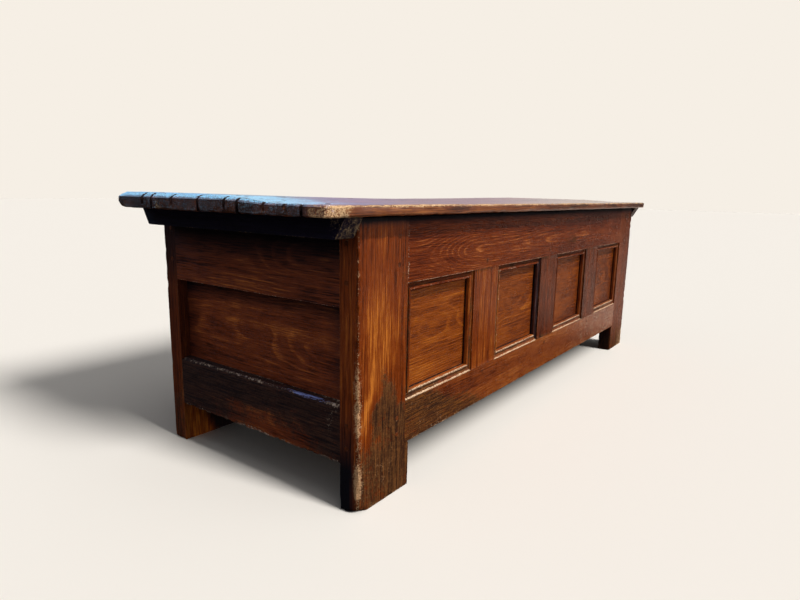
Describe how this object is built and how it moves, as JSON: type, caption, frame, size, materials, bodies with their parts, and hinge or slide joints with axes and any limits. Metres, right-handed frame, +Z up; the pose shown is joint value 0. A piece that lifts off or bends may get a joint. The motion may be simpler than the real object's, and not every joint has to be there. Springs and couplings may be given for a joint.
{
  "type": "blanket chest",
  "caption": "Long low joined wooden chest with a moulded panelled front, plain panelled ends, feet cut from the corner posts and a hinged plank lid with end cleats.",
  "frame": {"origin": "on the floor under the middle of the whole chest's outer box", "axes": "+Z up, +X along the chest to the right of someone who faces its front, -Y towards that person"},
  "size_m": [1.9, 0.6365, 0.5993],
  "materials": {
    "stile_oak": "waxed and worn",
    "frame_oak": "waxed",
    "panel_oak": "waxed",
    "end_oak": "dark waxed",
    "lid_oak": "worn and waxed",
    "cleat_oak": "dark, dull",
    "back_oak": "dull, unpolished",
    "floor_oak": "bare, dry",
    "peg_oak": "waxed",
    "wrought_iron": "hammered, lightly rusted"
  },
  "bodies": {
    "chest": {"back_bottom_rail": "back_oak", "back_frame_pegs": "peg_oak", "back_left_stile": "stile_oak", "back_muntin_1": "back_oak", "back_muntin_2": "back_oak", "back_muntin_3": "back_oak", "back_panel_1": "back_oak", "back_panel_2": "back_oak", "back_panel_3": "back_oak", "back_panel_4": "back_oak", "back_right_stile": "stile_oak", "back_top_rail": "back_oak", "floor_board_1": "floor_oak", "floor_board_2": "floor_oak", "floor_board_3": "floor_oak", "floor_board_4": "floor_oak", "floor_board_5": "floor_oak", "floor_board_6": "floor_oak", "floor_board_7": "floor_oak", "front_bottom_rail": "frame_oak", "front_frame_pegs": "peg_oak", "front_left_stile": "stile_oak", "front_muntin_1": "frame_oak", "front_muntin_2": "frame_oak", "front_muntin_3": "frame_oak", "front_panel_1": "panel_oak", "front_panel_2": "panel_oak", "front_panel_3": "panel_oak", "front_panel_4": "panel_oak", "front_right_stile": "stile_oak", "front_top_rail": "frame_oak", "hinge_leaf_nails": "wrought_iron", "left_bottom_rail": "end_oak", "left_end_panel": "end_oak", "left_end_pegs": "peg_oak", "left_hinge_leaf": "wrought_iron", "left_hinge_pin": "wrought_iron", "left_top_rail": "end_oak", "right_bottom_rail": "end_oak", "right_end_panel": "end_oak", "right_end_pegs": "peg_oak", "right_hinge_leaf": "wrought_iron", "right_hinge_pin": "wrought_iron", "right_top_rail": "end_oak"},
    "lid": {"cleat_pegs": "peg_oak", "hinge_strap_nails": "wrought_iron", "left_cleat": "cleat_oak", "left_hinge_strap": "wrought_iron", "lid_back_board": "lid_oak", "lid_front_board": "lid_oak", "lid_middle_board": "lid_oak", "right_cleat": "cleat_oak", "right_hinge_strap": "wrought_iron"}
  },
  "joints": [
    {"name": "lid_hinge", "type": "hinge", "parent": "chest", "child": "lid", "pos_m": [0, 0.31125, 0.56515], "axis": [-1, 0, 0], "range_deg": [0, 95]}
  ]
}
